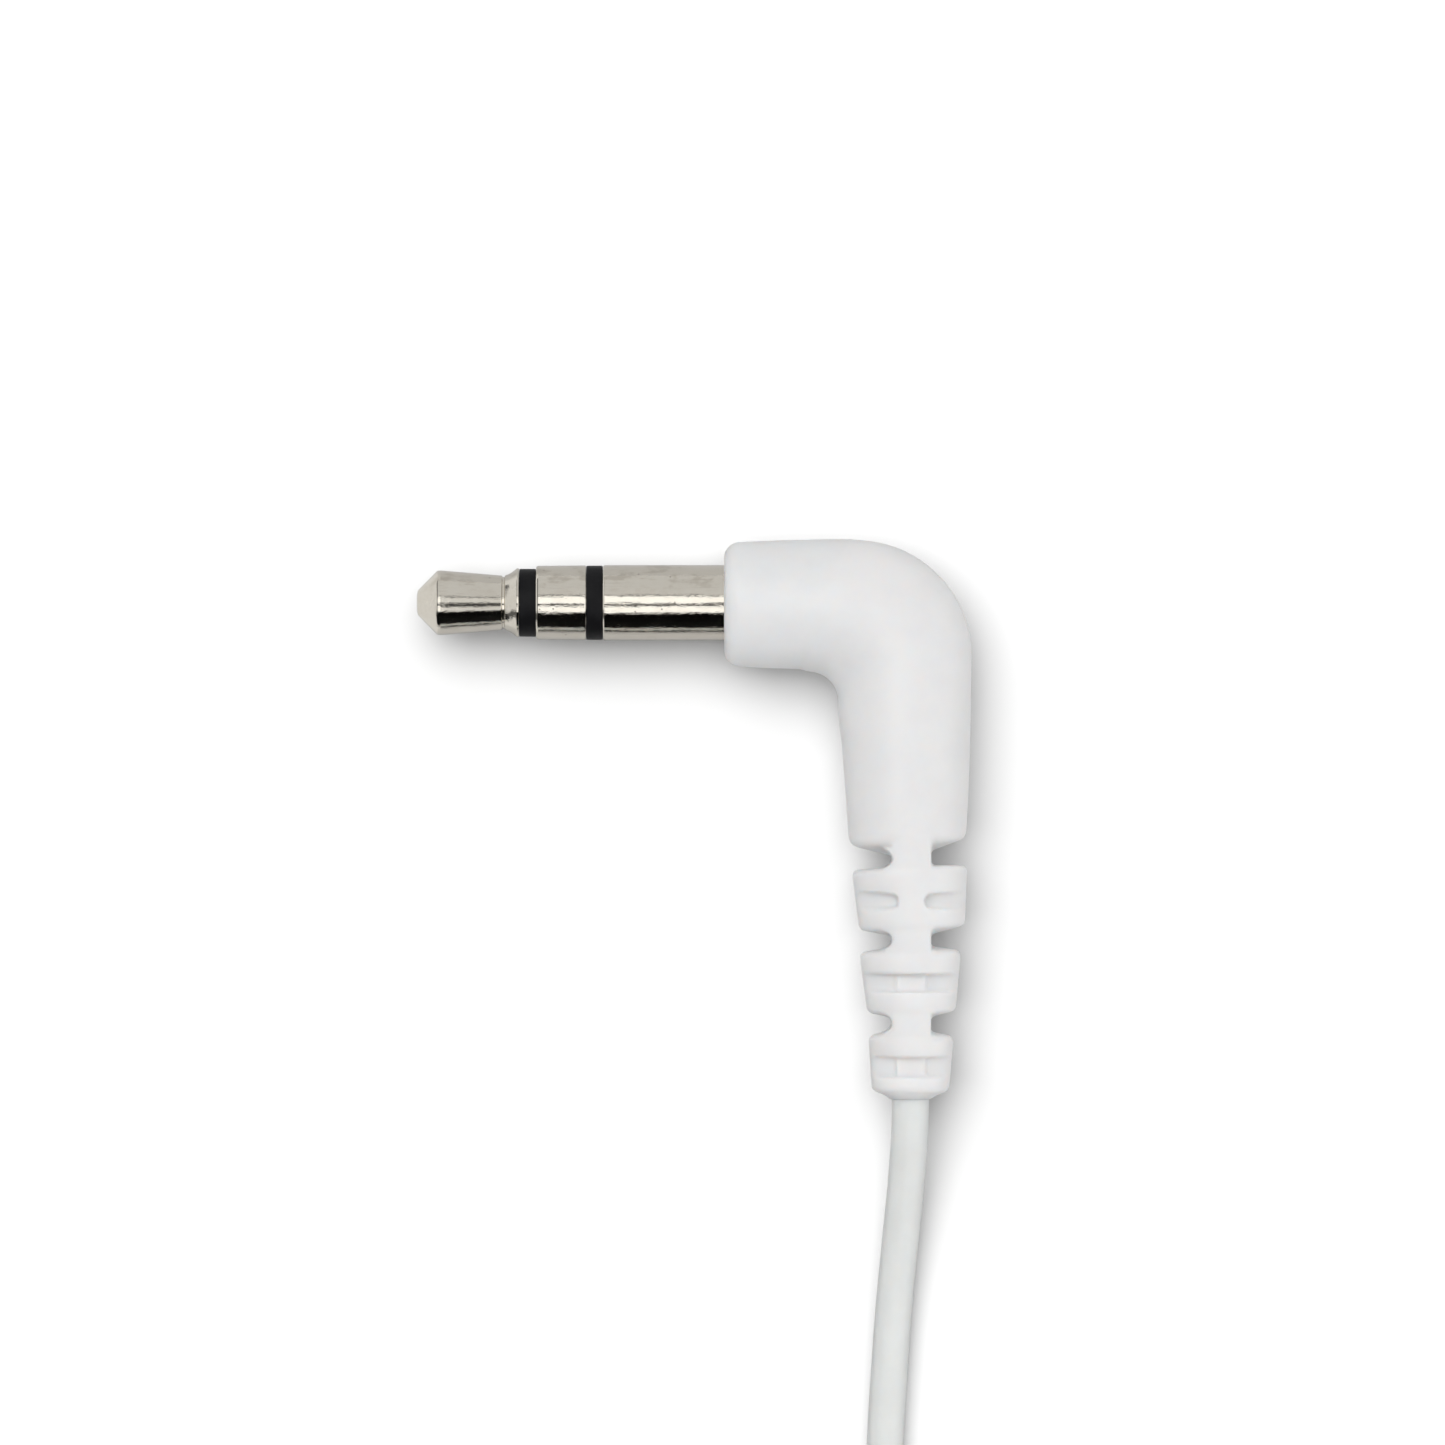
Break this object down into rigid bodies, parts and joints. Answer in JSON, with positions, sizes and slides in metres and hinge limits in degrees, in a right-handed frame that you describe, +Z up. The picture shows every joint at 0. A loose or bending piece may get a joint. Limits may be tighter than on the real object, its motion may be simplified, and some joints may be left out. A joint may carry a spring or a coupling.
{
  "type": "wired earphones",
  "caption": "Wired in-ear earphones with a right-angle stereo plug, slotted strain relief, round cord, Y split, sliding cinch and silicone ear tips.",
  "frame": {"origin": "centre of the plug's shoulder, where the sleeve contact leaves the housing", "axes": "-X along the plug towards its tip, -Y along the cord where it leaves the housing, +Z up from the surface that the set lies on"},
  "size_m": [0.1015, 0.0907, 0.0158],
  "materials": {
    "nickel": "plated, lightly worn",
    "black_insulator": "satin",
    "inner_mould": "as moulded",
    "enamelled_copper": "enamelled",
    "solder": "dull",
    "white_moulding": "satin soft moulding",
    "white_jacket": "satin jacket",
    "tie_plastic": "coated wire tie",
    "white_shell": "gloss",
    "board": "solder mask",
    "plated_steel": "zinc plated",
    "magnet": "nickel plated, dark",
    "frame_plastic": "matte",
    "film": "thin film",
    "felt": "felt",
    "steel_mesh": "etched",
    "silicone": "satin silicone"
  },
  "bodies": {
    "earphones": {"tip_contact": "nickel", "tip_insulator": "black_insulator", "ring_contact": "nickel", "ring_insulator": "black_insulator", "sleeve_contact": "nickel", "plug_inner_mould": "inner_mould", "plug_conductors": "enamelled_copper", "plug_solder": "solder", "plug_housing": "white_moulding", "cord_lead": "white_jacket", "cord_coil": "white_jacket", "cord_tail": "white_jacket", "cord_tie": "tie_plastic", "split_cover": "white_moulding", "split_core": "inner_mould", "left_cord_lead": "white_jacket", "left_cord_coil": "white_jacket", "left_cord_tail": "white_jacket", "left_cord_tie": "tie_plastic", "left_relief": "white_moulding", "left_rear_cap": "white_shell", "left_rear_shell": "white_shell", "left_front_shell": "white_shell", "left_terminal_board": "board", "left_leads": "enamelled_copper", "left_yoke": "plated_steel", "left_magnet": "magnet", "left_top_plate": "plated_steel", "left_driver_frame": "frame_plastic", "left_driver_grille": "plated_steel", "left_nozzle_damper": "felt", "left_nozzle_mesh": "steel_mesh", "right_cord_lead": "white_jacket", "right_cord_coil": "white_jacket", "right_cord_tail": "white_jacket", "right_cord_tie": "tie_plastic", "right_relief": "white_moulding", "right_rear_cap": "white_shell", "right_rear_shell": "white_shell", "right_front_shell": "white_shell", "right_terminal_board": "board", "right_leads": "enamelled_copper", "right_yoke": "plated_steel", "right_magnet": "magnet", "right_top_plate": "plated_steel", "right_driver_frame": "frame_plastic", "right_driver_grille": "plated_steel", "right_nozzle_damper": "felt", "right_nozzle_mesh": "steel_mesh"},
    "left_diaphragm": {"left_diaphragm": "film", "left_voice_coil": "enamelled_copper"},
    "right_diaphragm": {"right_diaphragm": "film", "right_voice_coil": "enamelled_copper"},
    "left_ear_tip": {"left_ear_tip": "silicone"},
    "right_ear_tip": {"right_ear_tip": "silicone"},
    "cord_slider": {"cord_slider": "white_moulding"}
  },
  "joints": [
    {"name": "left_diaphragm_stroke", "type": "slide", "parent": "earphones", "child": "left_diaphragm", "axis": [0, 0, 1], "range_m": [-0.00025, 0.00025], "stiffness_N_per_m": 8},
    {"name": "left_tip_pull", "type": "slide", "parent": "earphones", "child": "left_ear_tip", "axis": [0, 0, 1], "range_m": [0, 0.005]},
    {"name": "right_diaphragm_stroke", "type": "slide", "parent": "earphones", "child": "right_diaphragm", "axis": [0, 0, 1], "range_m": [-0.00025, 0.00025], "stiffness_N_per_m": 8},
    {"name": "right_tip_pull", "type": "slide", "parent": "earphones", "child": "right_ear_tip", "axis": [0, 0, 1], "range_m": [0, 0.005]},
    {"name": "slider_travel", "type": "slide", "parent": "earphones", "child": "cord_slider", "axis": [1, 0, 0], "range_m": [-0.005, 0.005]}
  ]
}
